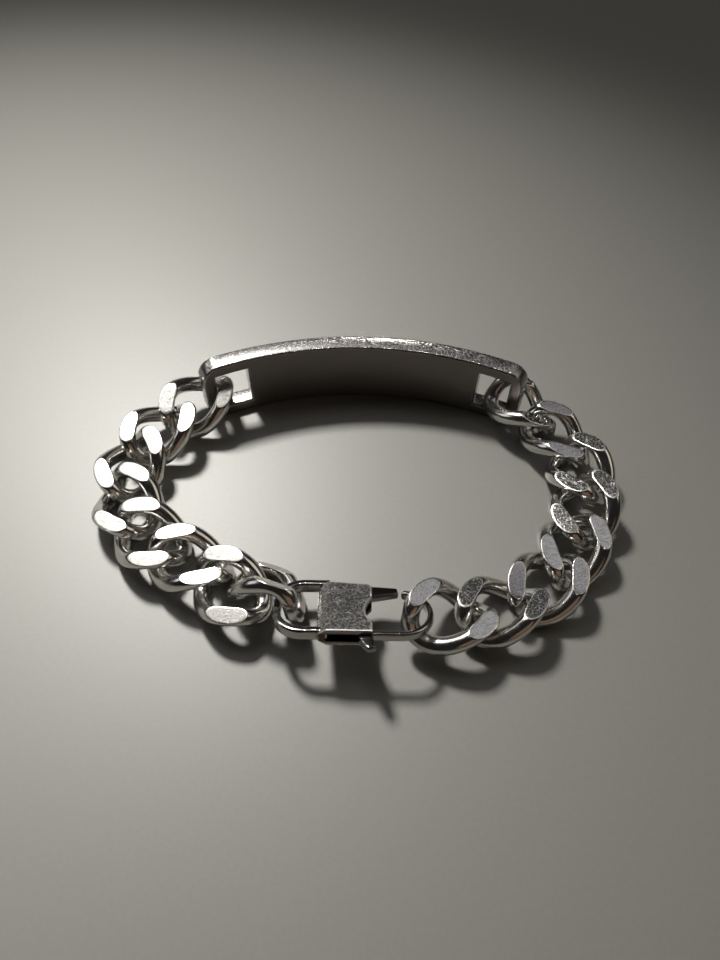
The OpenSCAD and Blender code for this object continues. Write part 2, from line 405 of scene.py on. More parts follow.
def clasp_steel():
    """Cast steel: faces pitted and rubbed, rims dulled, bars polished and walls painted dark brown as
    shade.
    """
    material, tree, shader, place = new_material("worn_clasp_steel_with_painted_shade")
    rim = add_node(tree, "ShaderNodeAttribute", attribute_name="rim").outputs["Fac"]
    polished = add_node(tree, "ShaderNodeAttribute", attribute_name="polished").outputs["Fac"]
    side = add_node(tree, "ShaderNodeAttribute", attribute_name="side").outputs["Fac"]
    lines = crossed_scratches(tree, place, headings=CLASP_SCRATCHES, thin=0.006)
    pits = pit_noise(tree, place)
    face_rough = worn_roughness(tree, lines, pits, base=0.2, rise=0.13)
    bar_rough = add_node(
        tree,
        "ShaderNodeMix",
        {"Factor": polished, "A": face_rough, "B": POLISHED_ROUGHNESS},
        data_type="FLOAT",
    ).outputs[0]
    rough = add_node(
        tree, "ShaderNodeMath", {0: rim, 1: RIM_RISE, 2: bar_rough}, operation="MULTIPLY_ADD"
    ).outputs[0]
    share = add_node(
        tree, "ShaderNodeMapRange", {"Value": polished, "To Min": 1.0, "To Max": POLISHED_RELIEF}
    ).outputs[0]
    relief = worn_relief(tree, lines, pits)
    worn = add_node(tree, "ShaderNodeMath", {0: relief, 1: share}, operation="MULTIPLY").outputs[0]
    bump = add_node(
        tree, "ShaderNodeBump", {"Height": worn, "Strength": 0.6, "Distance": WEAR_DEPTH}
    ).outputs[0]
    # Painted shade and reflection: the walls, by the side mark, turn from the grey steel (A) to a dark
    # brown (B).
    tint = add_node(tree, "ShaderNodeMix", data_type="RGBA")
    tree.links.new(side, tint.inputs["Factor"])
    tint.inputs["A"].default_value = linear("#b4b2b0")
    tint.inputs["B"].default_value = linear("#5a4a44")
    tree.links.new(tint.outputs["Result"], shader.inputs["Base Color"])
    tree.links.new(rough, shader.inputs["Roughness"])
    tree.links.new(bump, shader.inputs["Normal"])
    shader.inputs["Metallic"].default_value = 1.0
    return material


def lever_steel():
    """Polished steel given a darker colour than the clasp, as painted shade, where the scratches and
    pits are only a faint relief.
    """
    material, tree, shader, place = new_material("polished_lever_steel_with_painted_shade")
    lines = crossed_scratches(tree, place, headings=CLASP_SCRATCHES, thin=0.006)
    relief = worn_relief(tree, lines, pit_noise(tree, place))
    faint = add_node(
        tree, "ShaderNodeMath", {0: relief, 1: POLISHED_RELIEF}, operation="MULTIPLY"
    ).outputs[0]
    bump = add_node(
        tree, "ShaderNodeBump", {"Height": faint, "Strength": 0.5, "Distance": WEAR_DEPTH}
    ).outputs[0]
    tree.links.new(bump, shader.inputs["Normal"])
    # Painted shade: the same steel gets a darker colour here than on the clasp and links.
    shader.inputs["Base Color"].default_value = linear("#8f8d8b")
    shader.inputs["Roughness"].default_value = POLISHED_ROUGHNESS
    shader.inputs["Metallic"].default_value = 1.0
    return material


CLASP_STEEL = clasp_steel()
LEVER_STEEL = lever_steel()
for steel in (CLASP_STEEL, LEVER_STEEL):
    print(steel.name, len(steel.node_tree.nodes), "nodes")

# %% [markdown]
# ## How the bracelet lies
#
# The bracelet lies closed on a table, so every link has its own heading, lift and
# roll. A simulation could drop the chain, but it would come to rest in another shape,
# so two short tables hold a row for each link, from the plate outwards, in degrees. The
# first link hangs on the strip at the plate's end, with some slack, and each of the
# others is half a pitch on from the link before it, then half a pitch along itself.

# %% Sizes in millimetres
PLATE_WIDTH = 12
PLATE_THICK = 3.2
PLATE_RADIUS = 57.2
PLATE_FACE = 42.2
SLOT_LENGTH = 6.0
SLOT_HEIGHT = 7.6
END_STRIP = 2.2
CORNER = 3.0
WIRE = 2.7
LINK_LENGTH = 14.5
LINK_WIDTH = 11.5
LINK_TWIST = 52
GROUND_HEIGHT = 4.8
LINK_SQUARE = 2.3
LINK_PITCH = 8.2
CURVE_AT = np.array([0.9, -31.3, 0])
LEFT_SLACK = 0.5
LEFT_START = 5.1
RIGHT_SLACK = 1.6
RIGHT_START = 4.3

# %% Heading, lift and roll of each link
LEFT_LIE = [
    (-134, -6, -14),
    (-132, -4, -4),
    (-102, -6, 2),
    (-69, 0, 7),
    (-39, 0, 7),
    (-23, 0, -6),
    (-47, 0, 10),
]
RIGHT_LIE = [
    (-42, -10, -12),
    (-55, -3, -6),
    (-84, 6, 11),
    (-107, -4, 10),
    (-119, 1, -6),
    (-139, -1, -7),
    (-160, 2, 10),
    (-173, 11, 1),
]
BAIL_LINK_LIE = (-46, 27, -44)
BAIL_LINK_AT = CURVE_AT + (-13.4, 13.6, 4.1)
CLASP_LIE = (0, 0, -21)
CLASP_AT = CURVE_AT + (-0.7, 10, 5.6)

mid_radius = PLATE_RADIUS + PLATE_THICK / 2
link_a = (LINK_LENGTH - WIRE) / 2
link_b = (LINK_WIDTH - WIRE) / 2


def turn_of(lie):
    """Rows of the matrix that rolls about +X, then lifts the +X end, then turns to the heading."""
    heading, lift, roll = np.radians(lie)
    ch, sh, cl, sl, cr, sr = (f(a) for a in (heading, lift, roll) for f in (np.cos, np.sin))
    about_z = np.array([[ch, -sh, 0], [sh, ch, 0], [0, 0, 1]])
    about_y = np.array([[cl, 0, -sl], [0, 1, 0], [sl, 0, cl]])
    about_x = np.array([[1, 0, 0], [0, cr, -sr], [0, sr, cr]])
    return about_z @ about_y @ about_x


def laid(points, lie, at):
    """Points of a thing that points along +X, turned to its lie and moved to its place."""
    return points @ turn_of(lie).T + at


def on_curve(along, depth, height):
    """A point of the plate: distance along its middle curve, depth outwards from it, height."""
    turn = along / mid_radius
    r = mid_radius + depth
    return np.stack([CURVE_AT[0] + r * np.sin(turn), CURVE_AT[1] + r * np.cos(turn), height], -1)


def run_of_links(side, lies, slack, start_height):
    """Places of the links of one side, by adding half pitches from the end strip outwards."""
    strip = side * (PLATE_FACE / 2 + SLOT_LENGTH + END_STRIP / 2)
    aims = np.array([turn_of(lie)[:, 0] for lie in lies])
    start = on_curve(strip, 0, 0) + (link_a - WIRE / 2 - END_STRIP / 2 - slack) * aims[0]
    start[2] = start_height
    steps = LINK_PITCH / 2 * (aims[:-1] + aims[1:])
    return list(start + np.concatenate([np.zeros((1, 3)), np.cumsum(steps, 0)]))


left_places = run_of_links(-1, LEFT_LIE, LEFT_SLACK, LEFT_START) + [BAIL_LINK_AT]
right_places = run_of_links(1, RIGHT_LIE, RIGHT_SLACK, RIGHT_START)
print("last links at", np.round(left_places[-1], 1), np.round(right_places[-1], 1))

# %% [markdown]
# ## The curb link
#
# A curb link is an oval of round wire whose two ends are twisted opposite ways, so
# that the chain lies flat, and then both faces are ground until each shows two flats.
# A real one is cut from a coil and twisted, and here the wire's round section is
# carried along the twisted oval. Where the section would rise above a ground plane
# it is held down to it, and the columns slide to the rim so that the edge stays
# crisp. The rim itself is eased by a smooth minimum, as the final polish does.

# %% Link surface
ALONG = 150
ROUND_STEPS = 14
FLAT_STEPS = 10
RIM = 0.14
WIDEST_RIM = 80


def wire_path(t):
    """Squared oval: signed powers of cos and sin, then the side turned by a lean that grows with x."""
    x = link_a * np.sign(np.cos(t)) * np.abs(np.cos(t)) ** (2 / LINK_SQUARE)
    side = link_b * np.sign(np.sin(t)) * np.abs(np.sin(t)) ** (2 / LINK_SQUARE)
    lean = np.radians(LINK_TWIST) * x / link_a
    return np.stack([x, -side * np.cos(lean), side * np.sin(lean)], -1)


def even_steps(path, count, samples=4001):
    """Parameters that cut a closed path into steps of equal length, by its running length."""
    t = np.linspace(0, 2 * np.pi, samples)
    length = np.concatenate([[0], np.cumsum(np.linalg.norm(np.diff(path(t), axis=0), axis=1))])
    return np.interp(np.arange(count) / count * length[-1], length, t)


def unit(v):
    """Each vector divided by its own length."""
    return v / np.linalg.norm(v, axis=-1, keepdims=True)


def smooth_min(a, b, width):
    """The smaller of two values, with the corner where they cross rounded over a width."""
    h = np.clip(0.5 + 0.5 * (b - a) / width, 0, 1)
    return b + (a - b) * h - width * h * (1 - h)


def crowded(steps):
    """Steps from 0 to 1 that crowd towards both ends, from half a cosine wave."""
    return 0.5 - 0.5 * np.cos(np.pi * np.arange(steps) / steps)


def link_surface():
    """Round wire along its path. Each section runs: side, upper flat, other side, lower flat."""
    radius = WIRE / 2
    t = even_steps(wire_path, ALONG)
    centre = wire_path(t)
    along = unit(np.roll(centre, -1, 0) - np.roll(centre, 1, 0))
    across = unit(np.cross(along, [0, 0, 1]))
    up = np.cross(across, along)
    room_up = (GROUND_HEIGHT / 2 - centre[:, 2:]) / up[:, 2:]
    room_down = (GROUND_HEIGHT / 2 + centre[:, 2:]) / up[:, 2:]
    # Where the wire isn't ground, the flat's columns share what is left of the round top.
    widest = np.radians(WIDEST_RIM)
    rim_up = np.minimum(np.arcsin(np.clip(room_up / radius, -1, 1)), widest)
    rim_down = np.minimum(np.arcsin(np.clip(room_down / radius, -1, 1)), widest)
    s, f = crowded(ROUND_STEPS), crowded(FLAT_STEPS)
    right_arc = -rim_down + (rim_up + rim_down) * s
    left_arc = np.pi - rim_up + (rim_up + rim_down) * s
    upper = radius * np.cos(rim_up) * (1 - 2 * f)
    lower = -radius * np.cos(rim_down) * (1 - 2 * f)
    side = np.concatenate([radius * np.cos(right_arc), upper, radius * np.cos(left_arc), lower], 1)
    sign = np.sign(
        np.concatenate([np.sin(right_arc), 1 + 0 * upper, np.sin(left_arc), -1 + 0 * lower], 1)
    )
    height = sign * np.sqrt(np.maximum(radius**2 - side**2, 0))
    over = np.where(height > 0, height - room_up, -height - room_down)
    held = np.where(
        height > 0, smooth_min(height, room_up, RIM), -smooth_min(-height, room_down, RIM)
    )
    points = centre[:, None] + side[..., None] * across[:, None] + held[..., None] * up[:, None]
    return points, np.clip(over, 0, None)


link_points, link_cut = link_surface()
print("link:", link_points.shape, "height", np.ptp(link_points[..., 2]).round(2))

# %% Make the sixteen links
for side, lies, places in (
    ("left", LEFT_LIE + [BAIL_LINK_LIE], left_places),
    ("right", RIGHT_LIE, right_places),
):
    for number, (lie, at) in enumerate(zip(lies, places), 1):
        node = f"link_{side}_{number}"
        shell = tube(laid(link_points, lie, at), closed=True)
        marks = {"cut_depth": link_cut}
        make_piece(f"curb_{node}", [shell], LINK_STEEL, node, "bracelet", marks)

# %% [markdown]
# ## The name plate
#
# The plate is a strip of steel, pierced at both ends so that a narrow upright strip is
# left for the first link, then bent to the wrist. Boolean cuts would leave long thin
# faces that shade badly on a bend, so it is drawn flat as a grid of cells, where the
# cells of the two slots are missing, and wrapped on its curve. The edge
# rounding comes from one number, the distance of each point from the outline: within
# the edge radius, the face sinks as a quarter circle does.

# %% Plate outline
EDGE = 0.4
face_half = PLATE_FACE / 2
strip_at = face_half + SLOT_LENGTH
plate_half = strip_at + END_STRIP
slot_low = (PLATE_WIDTH - SLOT_HEIGHT) / 2
slot_high = slot_low + SLOT_HEIGHT
ease = EDGE * (1 - np.cos(np.radians([0, 25, 45, 65, 90])))


def between(low, high, step):
    """Even values strictly between two limits, about a step apart."""
    return np.linspace(low, high, max(2, round((high - low) / step)) + 1)[1:-1]


def banded(low, high, step):
    """Values from low to high that crowd within the edge radius of both."""
    inner = between(low + EDGE, high - EDGE, step)
    return np.concatenate([low + ease, inner, high - ease[::-1]])


def end_at(height):
    """How far the plate reaches at a height: its end less what the corner circle takes away."""
    away = np.minimum(height, PLATE_WIDTH - height)
    inside = np.clip(CORNER - away, 0, CORNER)
    return plate_half - (CORNER - np.sqrt(CORNER**2 - inside**2))


def outline_distance(along, height):
    """Distance to the nearest edge of the outline: long edges, ends, corner circles and slots."""
    along = np.abs(along)
    away = np.minimum(height, PLATE_WIDTH - height)
    nearest = np.minimum(away, plate_half - along)
    in_corner = (along > plate_half - CORNER) & (away < CORNER)
    to_centre = np.hypot(along - (plate_half - CORNER), CORNER - away)
    nearest = np.where(in_corner, CORNER - to_centre, nearest)
    beside = np.maximum(np.maximum(face_half - along, along - strip_at), 0)
    to_slot = np.hypot(beside, np.maximum(slot_low - away, 0))
    return np.minimum(nearest, to_slot)


# %% Plate grid
slot_columns = banded(face_half, strip_at, step=0.5)
strip_columns = banded(strip_at, plate_half, step=0.3)
main_columns = banded(-face_half, face_half, step=0.7)
end_columns = np.concatenate([slot_columns, strip_columns[1:]])
columns = np.concatenate([-end_columns[::-1], main_columns[1:-1], end_columns])
lower_rows = banded(0, slot_low, step=0.25)
slot_rows = banded(slot_low, slot_high, step=0.6)
upper_rows = banded(slot_high, PLATE_WIDTH, step=0.25)
rows = np.concatenate([lower_rows, slot_rows[1:-1], upper_rows])
along, height = np.meshgrid(columns, rows, indexing="ij")
beside_slot = (height > slot_low - 1e-6) & (height < slot_high + 1e-6)
squeeze_from = np.where(beside_slot, strip_at, face_half)
past = np.maximum(np.abs(along) - squeeze_from, 0) / (plate_half - squeeze_from)
reach = squeeze_from + past * (end_at(height) - squeeze_from)
along = np.where(past > 0, np.sign(along) * reach, along)
sunk = np.clip(EDGE - outline_distance(along, height), 0, EDGE)
depth = PLATE_THICK / 2 - (EDGE - np.sqrt(EDGE**2 - sunk**2))
middle_column = np.abs(columns[:-1] + columns[1:])[:, None] / 2
middle_row = (rows[:-1] + rows[1:])[None, :] / 2
in_slot = (middle_column > face_half) & (middle_column < strip_at)
solid = ~(in_slot & (np.abs(middle_row - PLATE_WIDTH / 2) < SLOT_HEIGHT / 2))


def sheet_with_holes(front, back, solid):
    """Front and back faces of the solid cells, and walls wherever a solid cell meets an empty one."""
    many, few = front.shape[:2]
    ids = np.arange(many * few).reshape(many, few)
    shift = many * few
    i, j = np.nonzero(solid)
    quad = np.stack([ids[i, j], ids[i + 1, j], ids[i + 1, j + 1], ids[i, j + 1]], -1)
    faces = [quad, quad[:, ::-1] + shift]
    around = np.pad(solid, 1)
    for di, dj, a, b in (
        (-1, 0, (0, 1), (0, 0)),
        (1, 0, (1, 0), (1, 1)),
        (0, -1, (0, 0), (1, 0)),
        (0, 1, (1, 1), (0, 1)),
    ):
        i, j = np.nonzero(solid & ~around[1 + di : 1 + di + many - 1, 1 + dj : 1 + dj + few - 1])
        p, q = ids[i + a[0], j + a[1]], ids[i + b[0], j + b[1]]
        faces.append(np.stack([q, p, p + shift, q + shift], -1))
    points = np.concatenate([front.reshape(-1, 3), back.reshape(-1, 3)])
    return points, np.concatenate(faces).tolist()


def without_loose(points, faces, marks):
    """The same shell without the points that no face uses, such as those inside a slot."""
    used, fresh = np.unique(np.array(faces), return_inverse=True)
    return (points[used], fresh.reshape(-1, 4).tolist()), marks[used]


# %% Make the plate
EDGE_FADE = 0.4 * EDGE
outer = on_curve(along, depth, height)
inner = on_curve(along, -depth, height)
points, faces = sheet_with_holes(outer, inner, solid)
on_edge = np.clip((EDGE - outline_distance(along, height)) / EDGE_FADE, 0, 1)
plate_shell, edge_marks = without_loose(points, faces, np.tile(on_edge.ravel(), 2))
make_piece(
    "curved_name_plate",
    [plate_shell],
    PLATE_STEEL,
    "name_plate",
    "bracelet",
    {"edge": edge_marks},
)

# %% [markdown]
# ## The clasp
#
# The clasp is a casting: a bail that holds the last left link, a thick body and a
# hook that holds the last right link. Bail and hook are bars. A bevelled curve object
# could make them, but an array keeps the marks of the finish, so a rounded rectangle
# is carried along each one's path. The paths lie in the clasp's own plane, with x
# from the lever's pin towards the hook and y from the middle of the width backwards.

# %% Clasp sizes in millimetres
CLASP_WIDTH = 11
ARM_THICK = 1.8
BODY_THICK = 2.8
BAIL_ARM = 1.2
HOOK_ARM = 0.9
HOOK_THICK = 1.4
BAIL_X = -11.8
BAIL_CORNER = 4.4
BAIL_ROOT = 1.5
BODY_X = -5.4
BODY_NEAR = -5.8
NOSE = 1.4
ROOT_X = 5.4
SIDE_X = 2.3
HOOK_RADIUS = 4.7
HOOK_X = 6.3
HOOK_Y = -1.0
HOOK_ROOT = 2.0
TIP_TURN = 80
WINDOW_RADIUS = 3.85
WINDOW_X = 5.2
WINDOW_Y = -1.5
PIVOT_Y = 2.8
LEVER_THICK = 1.1
LEVER_GAP = 0.1
SLOT_HALF = LEVER_THICK / 2 + LEVER_GAP


def rounded_bar(width, thick, corner, count=9):
    """Ring of a rounded rectangle: four quarter circles, corner after corner."""
    quarter = np.linspace(0, np.pi / 2, count)
    turn = np.concatenate([quarter + k * np.pi / 2 for k in range(4)])
    sx = np.repeat([1, -1, -1, 1], count) * (width / 2 - corner)
    sy = np.repeat([1, 1, -1, -1], count) * (thick / 2 - corner)
    return np.stack([sx + corner * np.cos(turn), sy + corner * np.sin(turn)], -1)


def flat_path(pieces, step=0.25):
    """Points and headings along lines, from a to b, and arcs, about a centre by a turn."""
    at, heading = [], []
    for kind, a, b in pieces:
        if kind == "line":
            a, b = np.array(a, float), np.array(b, float)
            count = max(2, int(np.hypot(*(b - a)) / step))
            k = np.linspace(0, 1, count)[:, None]
            at.append(a + (b - a) * k)
            heading.append(np.full(count, np.arctan2(*(b - a)[::-1])))
        else:
            (cx, cy, r), (start, end) = a, b
            count = max(8, int(abs(math.radians(end - start)) * r / step))
            turn = np.radians(np.linspace(start, end, count))
            at.append(np.stack([cx + r * np.cos(turn), cy + r * np.sin(turn)], -1))
            heading.append(turn + np.sign(end - start) * np.pi / 2)
    at, heading = np.concatenate(at), np.concatenate(heading)
    keep = np.concatenate([[True], np.hypot(*np.diff(at, axis=0).T) > 1e-6])
    return at[keep], heading[keep]


def carried(ring, at, heading, scale=None):
    """The ring stood across a flat path: its first number goes sideways and its second up."""
    scale = np.ones(len(at)) if scale is None else scale
    side = ring[None, :, 0] * scale[:, None]
    x = at[:, None, 0] - np.sin(heading)[:, None] * side
    y = at[:, None, 1] + np.cos(heading)[:, None] * side
    return np.stack([x, y, ring[None, :, 1] * scale[:, None]], -1)


# %% Bail and hook
bail_mid = BAIL_CORNER - BAIL_ARM / 2
bail_y = CLASP_WIDTH / 2 - BAIL_ARM / 2
bail_cx = BAIL_X + BAIL_CORNER
bail_cy = CLASP_WIDTH / 2 - BAIL_CORNER
bail_at, bail_heading = flat_path(
    [
        ("line", (BODY_X + BAIL_ROOT, bail_y), (bail_cx, bail_y)),
        ("arc", (bail_cx, bail_cy, bail_mid), (90, 180)),
        ("line", (bail_cx - bail_mid, bail_cy), (bail_cx - bail_mid, -bail_cy)),
        ("arc", (bail_cx, -bail_cy, bail_mid), (180, 270)),
        ("line", (bail_cx, -bail_y), (BODY_X + BAIL_ROOT, -bail_y)),
    ]
)
bail_ring = rounded_bar(BAIL_ARM, ARM_THICK, corner=0.4)
bail = tube(carried(bail_ring, bail_at, bail_heading), closed=False)
hook_mid = HOOK_RADIUS - HOOK_ARM / 2
hook_at, hook_heading = flat_path(
    [
        ("line", (HOOK_ROOT, HOOK_Y - hook_mid), (HOOK_X, HOOK_Y - hook_mid)),
        ("arc", (HOOK_X, HOOK_Y, hook_mid), (-90, TIP_TURN)),
    ]
)
tip = np.radians(np.linspace(0, 88, 8))[1:]
tip_aim = np.array([np.cos(hook_heading[-1]), np.sin(hook_heading[-1])])
hook_at = np.concatenate([hook_at, hook_at[-1] + HOOK_ARM / 2 * np.sin(tip)[:, None] * tip_aim])
hook_heading = np.concatenate([hook_heading, np.full(len(tip), hook_heading[-1])])
hook_scale = np.concatenate([np.ones(len(hook_at) - len(tip)), np.cos(tip)])
hook_ring = rounded_bar(HOOK_ARM, HOOK_THICK, corner=0.35)
hook = tube(carried(hook_ring, hook_at, hook_heading, hook_scale), closed=False)
print("bail and hook:", len(bail[0]), len(hook[0]), "points")

# %% [markdown]
# ## The clasp's body
#
# The body is a block with a blunt nose on the left, a round bite on the right for the
# window and a slot through its middle, where the lever swings. Boolean modifiers could
# cut the bite and the slot out of a block, but their borders are hard to round. Here
# the upper face is a grid stretched between a left and a right edge, which can sink
# towards them, and the lower face mirrors it. The wall is a profile carried round the
# outline, pushed in where the slot is cut.

# %% Body outline
BODY_EDGE = 0.16
CORNER_Y = 3.0
CORNER_R = 1.0
CUT_Y = 3.2
CUT_RISE = 0.8
NOSE_HEIGHTS = (0.3, 0.8)
THIN_FROM = 3.2
ROOT_LIP = 0.05
NOSE_STEPS = [0, 0.05, 0.15, 0.3, 0.42, 0.467, 0.52, 0.65, 0.85, 1.05, 1.25, 1.35, 1.4, 1.45, 1.6]
WINDOW_TURN = (-89, 40.9)
SLANT_FROM = 1.5
SLANT = 0.5 / 5.7
body_ease = BODY_EDGE * (1 - np.cos(np.radians([0, 30, 60, 90])))


def right_edge(y):
    """Right end of the body at y: the hook's root, the window's circle, the side, the far corner."""
    across = WINDOW_RADIUS**2 - (y - WINDOW_Y) ** 2
    bite = np.where(across > 0, WINDOW_X - np.sqrt(np.clip(across, 0, None)), ROOT_X)
    side = np.where(y < 0, ROOT_X, SIDE_X)
    into_corner = np.clip(y - CORNER_Y, 0, CORNER_R)
    corner = SIDE_X - CORNER_R + np.sqrt(np.clip(CORNER_R**2 - into_corner**2, 0, None))
    return np.minimum.reduce([bite, side, corner])


def left_edge(y):
    """Left end of the body at y: upright, with the far corner cut off."""
    return BODY_X + np.clip((y - CUT_Y) / CUT_RISE, 0, 1)


def nose_height(x):
    """Half the body's thickness at x: two bevels of the nose, flat, then thinner towards the hook."""
    ends = [BODY_X, BODY_X + NOSE / 3, BODY_X + NOSE, THIN_FROM, ROOT_X]
    heights = [*NOSE_HEIGHTS, BODY_THICK / 2, BODY_THICK / 2, HOOK_THICK / 2 + ROOT_LIP]
    return np.interp(x, ends, heights)


def body_grid():
    """Upper face: x runs between the two edges, y from near to far, and edges sink by their distance."""
    window_y = WINDOW_Y + WINDOW_RADIUS * np.sin(np.radians(np.linspace(*WINDOW_TURN, 60)))
    far_y = CORNER_Y + CORNER_R
    y = np.concatenate(
        [
            BODY_NEAR + body_ease,
            between(BODY_NEAR + BODY_EDGE, WINDOW_Y - WINDOW_RADIUS, step=0.1),
            window_y,
            between(window_y[-1], CORNER_Y, step=0.12),
            CORNER_Y + CORNER_R * np.sin(np.radians(np.linspace(0, 75, 9))),
            [far_y - body_ease[1], far_y],
        ]
    )
    nose_x = BODY_X + np.array(NOSE_STEPS)
    # The last columns crowd at the right edge, on a body that is about 5 mm across.
    k = np.concatenate([between(0, 1, step=0.03), 1 - body_ease[::-1] / 5])
    fixed = np.broadcast_to(nose_x, (len(y), len(nose_x)))
    start = nose_x[-1]
    right = right_edge(y)[:, None]
    shift = (left_edge(y) - BODY_X)[:, None] * (1 - np.clip((nose_x - BODY_X) / NOSE, 0, 1))
    x = np.concatenate([fixed + shift, start + (right - start) * k], 1)
    far = np.clip((y[:, None] - SLANT_FROM) / (far_y - SLANT_FROM), 0, 1)
    slant = np.clip(SIDE_X - CORNER_R - x, 0, None) * SLANT
    return x, y[:, None] + slant * far


body_x, body_y = body_grid()
from_right_edge = body_x[:, -1:] - body_x
from_near_edge = body_y - body_y[:1]
from_far_edge = body_y[-1:] - body_y


def sink(distance):
    """How far a rounded edge lies below its face, at a distance from the edge."""
    short = BODY_EDGE - np.clip(distance, 0, BODY_EDGE)
    return BODY_EDGE - np.sqrt(BODY_EDGE**2 - short**2)


edge_sink = [sink(edge) for edge in (from_right_edge, from_near_edge, from_far_edge)]
body_z = nose_height(body_x) - np.maximum.reduce(edge_sink)
print("body grid:", body_x.shape, "height", body_z.min().round(2), body_z.max().round(2))


# %% Body wall with the lever's slot
WALL_ROWS = 6
SLOT_NEAR_X = -4.3
SLOT_FAR_X = 0.4
SLOT_INSIDE = [(-4.3, -3), (-1.9, 2.4), (-1.3, 3.95)]
ROOT_NEAR = (3.0, -3.4)
CLOSED_LIP = 0.01


def rim_of(array):
    """Values round the border of a grid: near row, right column, far row, left column."""
    return np.concatenate([array[0, :-1], array[:-1, -1], array[-1, :0:-1], array[:0:-1, 0]])


def body_shell():
    """Upper grid, lower grid and the rows of wall between their borders."""
    many, few = body_x.shape
    upper = np.stack([body_x, body_y, body_z], -1)
    lower = upper * (1, 1, -1)
    x, y, z = rim_of(body_x), rim_of(body_y), rim_of(body_z)
    ring = len(x)
    place = np.arange(ring)
    near = place < few - 1
    far_start = (few - 1) + (many - 1)
    first = int(np.argmax(near & (x >= SLOT_NEAR_X)))
    last = int(far_start + np.argmax(x[far_start:] <= SLOT_FAR_X))
    open_part = (place >= first) & (place <= last)
    run = np.concatenate([[0], np.cumsum(np.hypot(np.diff(x), np.diff(y)))])
    share = np.clip((run - run[first]) / (run[last] - run[first]), 0, 1)
    wall = np.array([(x[first], y[first]), *SLOT_INSIDE, (x[last], y[last])])
    wall_run = np.concatenate([[0], np.cumsum(np.hypot(*np.diff(wall, axis=0).T))])
    inside = [np.interp(share * wall_run[-1], wall_run, wall[:, i]) for i in (0, 1)]
    deep_x = np.where(open_part, inside[0], x)
    deep_y = np.where(open_part, inside[1], y)
    deep_z = np.minimum(z, SLOT_HALF)
    at_root = (x > ROOT_NEAR[0]) & (y < ROOT_NEAR[1])
    lip = np.where(at_root, CLOSED_LIP, deep_z)
    levels = [(x, y, z), (x, y, lip), (deep_x, deep_y, deep_z)]
    levels += [(a, b, -c) for a, b, c in levels[::-1]]
    rows_of_wall = np.stack([np.stack(level, -1) for level in levels])
    wall_points, wall_faces = tube(rows_of_wall, closed=False, ends=False)
    top_faces = grid_faces(many, few)
    size = many * few
    points = np.concatenate([upper.reshape(-1, 3), lower.reshape(-1, 3), wall_points])
    faces = top_faces + [[size + i for i in face[::-1]] for face in top_faces]
    faces += [[2 * size + i for i in face[::-1]] for face in wall_faces]
    return points, faces


body = body_shell()

# %% Make the clasp's body
PIN_RADIUS = 0.55
PIN_HALF = 0.9
PIN_ROWS = 4
PIN_SIDES = 32
RIM_BAND = 0.25
RIM_BANDS = 1.6
pin_turn = np.arange(PIN_SIDES) * 2 * np.pi / PIN_SIDES
pin_z = np.linspace(-PIN_HALF, PIN_HALF, PIN_ROWS)[:, None]
pin_x = PIN_RADIUS * np.cos(pin_turn)
pin_y = PIVOT_Y + PIN_RADIUS * np.sin(pin_turn)
pin = tube(np.stack(np.broadcast_arrays(pin_x, pin_y, pin_z), -1), closed=False)
clasp_shells = [
    (laid(points, CLASP_LIE, CLASP_AT), faces) for points, faces in (body, bail, hook, pin)
]
edge_near = np.minimum.reduce([from_right_edge, from_near_edge, from_far_edge])
body_rim = np.zeros(len(body[0]))
body_rim[: body_x.size] = np.clip(RIM_BANDS - edge_near.ravel() / RIM_BAND, 0, 1)
face_points = 2 * body_x.size
row_length = (len(body[0]) - face_points) // WALL_ROWS
wall_row = (np.arange(len(body[0])) - face_points) // row_length
# The walls between the rims get the clasp material's painted shade.
painted_shade_walls = ((wall_row > 0) & (wall_row < WALL_ROWS - 1)).astype(float)
bar_points = len(bail[0]) + len(hook[0])
clasp_marks = {
    "rim": np.concatenate([body_rim, np.zeros(bar_points + len(pin[0]))]),
    "polished": np.concatenate([np.zeros(len(body[0])), np.ones(bar_points), np.zeros(len(pin[0]))]),
    "side": np.concatenate([painted_shade_walls, np.zeros(bar_points + len(pin[0]))]),
}
make_piece(
    "cast_clasp_body",
    clasp_shells,
    CLASP_STEEL,
    "clasp_body",
    "bracelet",
    clasp_marks,
    crease=40,
)

# %% [markdown]
# ## The lever
#
# The lever turns on the pin: a gate closes the hook and a trigger reaches out to the
# near side. It could be an extruded outline with a hole, but its two faces would then
# be one large polygon each. Seen from the pin, every point of its outline is in sight,
# so rings from the pin's hole to the outline fill it without crossing, and a rounded
# profile is carried round the outline.

# %% Lever outline
GATE_REACH = 6.2
LEVER_EDGE = 0.3
BORE_RADIUS = 0.6
gate_turns = np.radians([13, 7, 1])
lever_corners = np.array(
    [(-0.8, 0.3), (0.3, 0.9), (1.2, 1.5), (2.4, 1.7)]
    + [(GATE_REACH * np.cos(a), GATE_REACH * np.sin(a)) for a in gate_turns]
    + [(4.2, -0.4), (2.2, -0.9), (1.2, -1.4), (1.2, -4.3), (1.9, -7), (2.5, -9.2)]
    + [(2.85, -10.7), (1.6, -11), (0.4, -9), (-0.7, -4)]
)


def rounded_outline(corners, radius, count=6, step=0.3):
    """Each corner becomes a quadratic curve, and long sides are cut into even steps."""
    points = []
    before = np.roll(corners, 1, 0)
    after = np.roll(corners, -1, 0)
    for a, b, c in zip(before, corners, after):
        cut = min(radius, np.linalg.norm(b - a) * 0.45, np.linalg.norm(c - b) * 0.45)
        start, end = b + unit(a - b) * cut, b + unit(c - b) * cut
        k = np.linspace(0, 1, count)[:, None]
        points.append((1 - k) ** 2 * start + 2 * k * (1 - k) * b + k**2 * end)
    ring = np.concatenate(points)
    nexts = np.roll(ring, -1, 0)
    filled = []
    for a, b in zip(ring, nexts):
        count_here = max(1, round(np.linalg.norm(b - a) / step))
        filled.append(a + (b - a) * (np.arange(count_here) / count_here)[:, None])
    return np.concatenate(filled)


